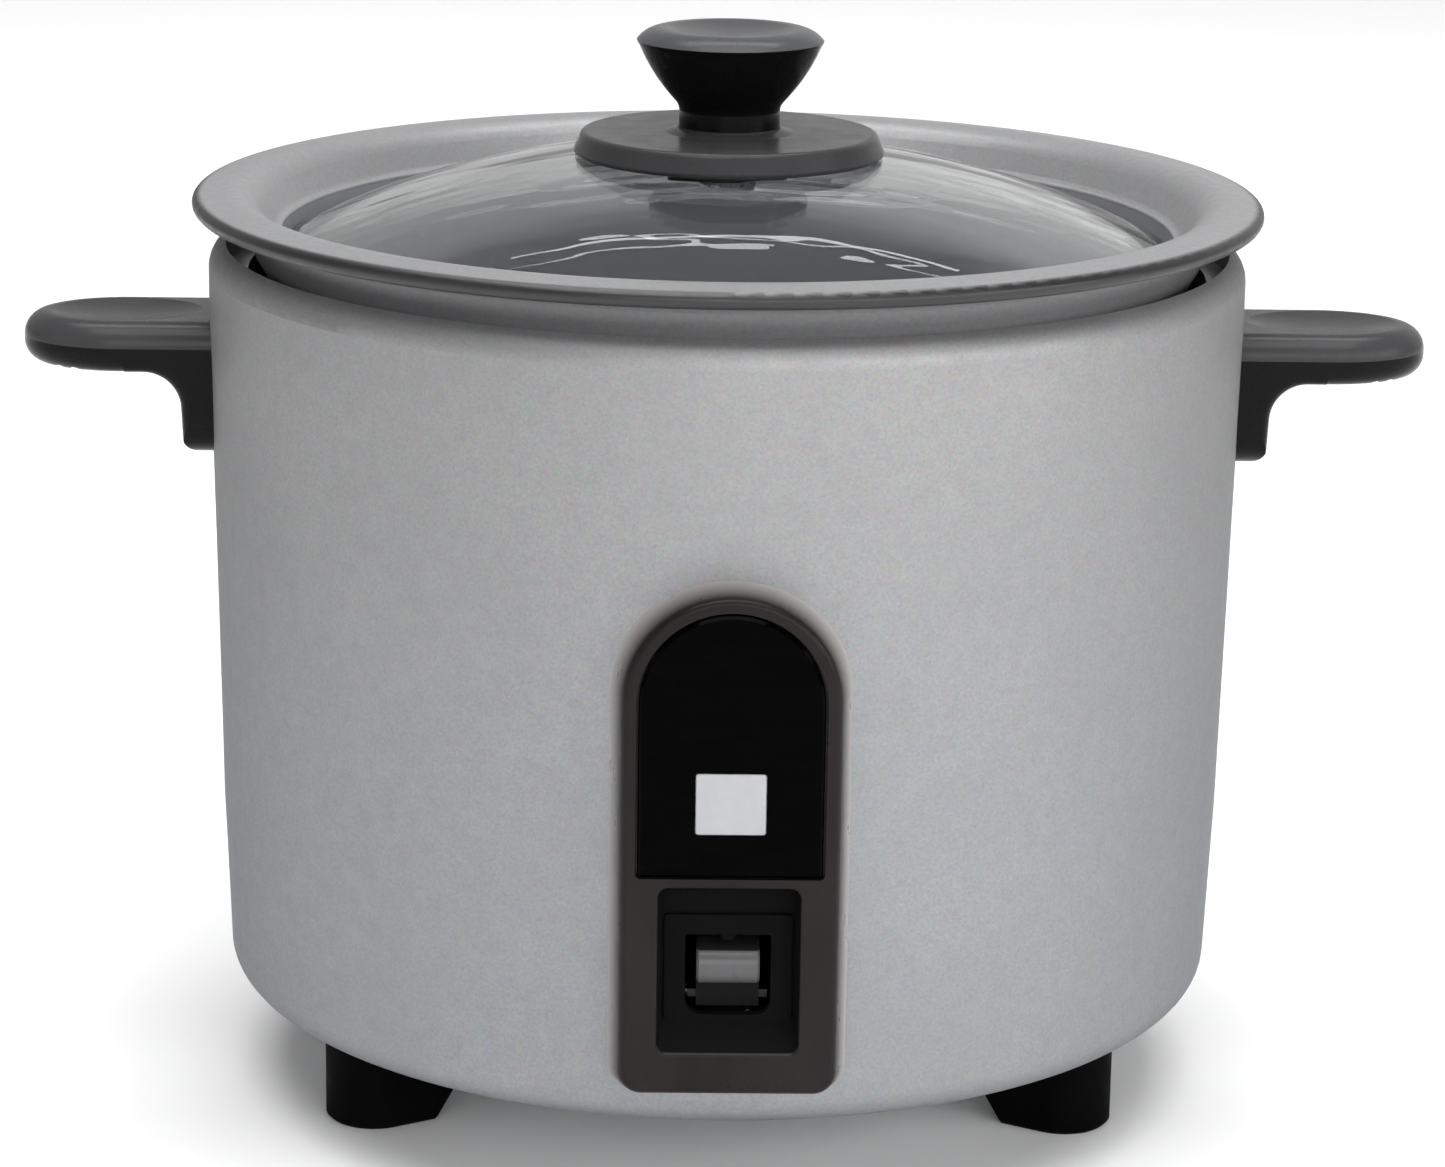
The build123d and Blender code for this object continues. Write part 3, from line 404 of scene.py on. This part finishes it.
def clear_glass():
    """Tempered glass, faintly green in its thickness, with soft drawing waves."""
    glass = Finish("clear_glass", {"Transmission Weight": 1.0, "IOR": 1.5, "Roughness": 0.0})
    tint = glass.noise(45, 2.0)
    glass.colour(glass.blend(tint, (0.93, 0.955, 0.95), (0.97, 0.98, 0.98)))
    glass.bump(glass.noise(14, 2.0, stretch=(0.35, 1.2, 1)), 0.16, 0.8)
    return glass.material


def silicone():
    """Dark grey rubber of the seal under the knob."""
    rubber = Finish("silicone", {"Specular IOR Level": 0.3})
    rubber.colour(rubber.blend(rubber.noise(3, 3.0), (0.020, 0.020, 0.021), (0.032, 0.032, 0.033)))
    rubber.rough(rubber.noise(1.2, 3.0), 0.5, 0.7)
    rubber.bump(rubber.noise(0.8, 2.0), 0.015)
    return rubber.material


def label_black():
    """Gloss black printed plate with faint wipe marks."""
    plate = Finish("label_black", {"Specular IOR Level": 0.02})
    wipe = plate.noise(3.5, 4.0, stretch=(0.3, 1, 1.6), distortion=0.4)
    plate.colour(plate.blend(plate.span(wipe, 0.4, 0.8), (0.0004, 0.0004, 0.0004), (0.0009, 0.0009, 0.0009)))
    plate.rough(wipe, 0.08, 0.17)
    plate.bump(plate.noise(7.0, 2.0), 0.008, 0.5)
    return plate.material


def window_white():
    """Frosted pale lens over the lamp."""
    lens = Finish("window_white", {"Subsurface Weight": 0.3, "Subsurface Radius": (0.002, 0.002, 0.002)})
    tone = lens.blend(lens.span(lens.noise(4, 3.0), 0.35, 0.7), (0.40, 0.406, 0.422), (0.44, 0.446, 0.46))
    lens.colour(tone)
    lens.rough(lens.noise(1.2, 3.0), 0.28, 0.4)
    lens.bump(lens.noise(0.5, 2.0), 0.01)
    return lens.material


def lamp_glass():
    """Thin tinted glass of the neon lamp."""
    bulb = Finish("lamp_glass", {"Transmission Weight": 0.9, "IOR": 1.48})
    bulb.colour(bulb.blend(bulb.noise(3, 2.0), (0.95, 0.62, 0.42), (0.98, 0.78, 0.62)))
    bulb.rough(bulb.noise(1.5, 2.0), 0.03, 0.1)
    bulb.bump(bulb.noise(2.0, 2.0), 0.01)
    return bulb.material


def ceramic():
    """Fired cream alumina, slightly chalky."""
    body = Finish("ceramic", {})
    stain = body.span(body.noise(1.2, 4.0), 0.35, 0.7)
    body.colour(body.blend(stain, (0.62, 0.60, 0.55), (0.74, 0.72, 0.68)))
    body.rough(body.noise(0.8, 3.0), 0.5, 0.7)
    body.bump(body.noise(0.4, 3.0), 0.03)
    return body.material


def wire_insulation():
    """Braided glass sleeving on the leads."""
    sleeve = Finish("wire_insulation", {"Sheen Weight": 0.3})
    weave = sleeve.cells(0.5, "Distance")
    sleeve.colour(sleeve.blend(sleeve.span(weave, 0.1, 0.7), (0.70, 0.68, 0.62), (0.42, 0.40, 0.36)))
    sleeve.rough(sleeve.noise(0.6, 2.0), 0.6, 0.8)
    sleeve.bump(weave, 0.06)
    return sleeve.material


FINISHES = {
    "silver_paint": silver_paint(),
    "galvanised_steel": galvanised_steel(),
    "case_aluminium": metal("case_aluminium", (0.72, 0.72, 0.73), 0.28, 0.42, brush=(1, 1, 8)),
    "foot_plastic": moulded("foot_plastic", (0.0006, 0.0006, 0.0006), 0.6, 0.75, 0.6, 0.03, 0.04).material,
    "screw_steel": metal("screw_steel", (0.62, 0.62, 0.64), 0.22, 0.38),
    "phenolic": phenolic(),
    "bezel_plastic": bezel_plastic(),
    "label_black": label_black(),
    "window_white": window_white(),
    "key_black": key_black(),
    "holder_plastic": moulded("holder_plastic", (0.55, 0.54, 0.50), 0.4, 0.5).material,
    "lamp_glass": lamp_glass(),
    "switch_plastic": moulded("switch_plastic", (0.018, 0.018, 0.018), 0.4, 0.5).material,
    "plunger_red": moulded("plunger_red", (0.42, 0.03, 0.02), 0.35, 0.45).material,
    "brass": metal("brass", (0.78, 0.60, 0.28), 0.2, 0.36),
    "heater_aluminium": metal("heater_aluminium", (0.66, 0.66, 0.67), 0.36, 0.5, depth=0.03),
    "element_steel": metal("element_steel", (0.42, 0.38, 0.34), 0.35, 0.5),
    "ceramic": ceramic(),
    "spring_steel": metal("spring_steel", (0.55, 0.56, 0.58), 0.2, 0.32),
    "ferrite": moulded("ferrite", (0.035, 0.034, 0.036), 0.45, 0.6, depth=0.03).material,
    "carrier_steel": metal("carrier_steel", (0.58, 0.58, 0.60), 0.26, 0.4),
    "wire_insulation": wire_insulation(),
    "pot_coating": pot_coating(),
    "clear_glass": clear_glass(),
    "silicone": silicone(),
}


# ---- assembly -----------------------------------------------------------------------------------
def finish_cad_nodes():
    """Gives each CAD node the finish of its material slot."""
    for row in frame["record"]["subparts"]:
        node = frame["nodes"][row["node"]]
        for holder in node.material_slots:
            holder.material = FINISHES[row["material_slot"]]


# The gauze ring over the vents of the bottom plate: its section, as radius and height.
SCREEN_SECTION = [(22.5, 17.55), (45.5, 17.55), (45.5, 17.95), (22.5, 17.95)]
SCREEN_STEPS = 96


def vent_screen():
    """A flat ring of black dust gauze that lies on the bottom plate over its vents."""
    corners = []
    for step in range(SCREEN_STEPS):
        turn = radians(360 * step / SCREEN_STEPS)
        corners += [(r * cos(turn) * MM, r * sin(turn) * MM, z * MM) for r, z in SCREEN_SECTION]
    faces = []
    for step in range(SCREEN_STEPS):
        here = 4 * step
        there = 4 * ((step + 1) % SCREEN_STEPS)
        for side in range(4):
            after = (side + 1) % 4
            faces.append((here + side, there + side, there + after, here + after))
    mesh = bpy.data.meshes.new("vent_screen")
    mesh.from_pydata(corners, [], faces)
    screen = bpy.data.objects.new("vent_screen", mesh)
    bpy.context.scene.collection.objects.link(screen)
    mesh.materials.append(FINISHES["switch_plastic"])
    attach(screen, "base")


finish_cad_nodes()
vent_screen()
add_camera()
add_floor()
add_world(0.14, 0.42)
add_softbox("top_light", (0, -0.45, 1.7), (0, 0, 0.1), 1.6, 1.0, 24)
add_softbox("front_light", (0.5, -1.9, 0.75), (0, 0, 0.09), 2.8, 0.8, 25)
add_softbox("left_light", (-1.8, -0.8, 0.6), (0, 0, 0.09), 1.0, 0.8, 2)
add_softbox("right_light", (1.8, -0.8, 0.6), (0, 0, 0.09), 1.0, 0.8, 9)
add_softbox("strip_light", (0.05, 1.6, 1.61), (0, 0, 0.155), 1.1, 0.025, 0.35)
add_softbox("floor_light", (0, 0.8, 2.4), (0, 1.25, 0), 2.4, 0.8, 42)
bpy.context.scene.view_settings.view_transform = "Standard"
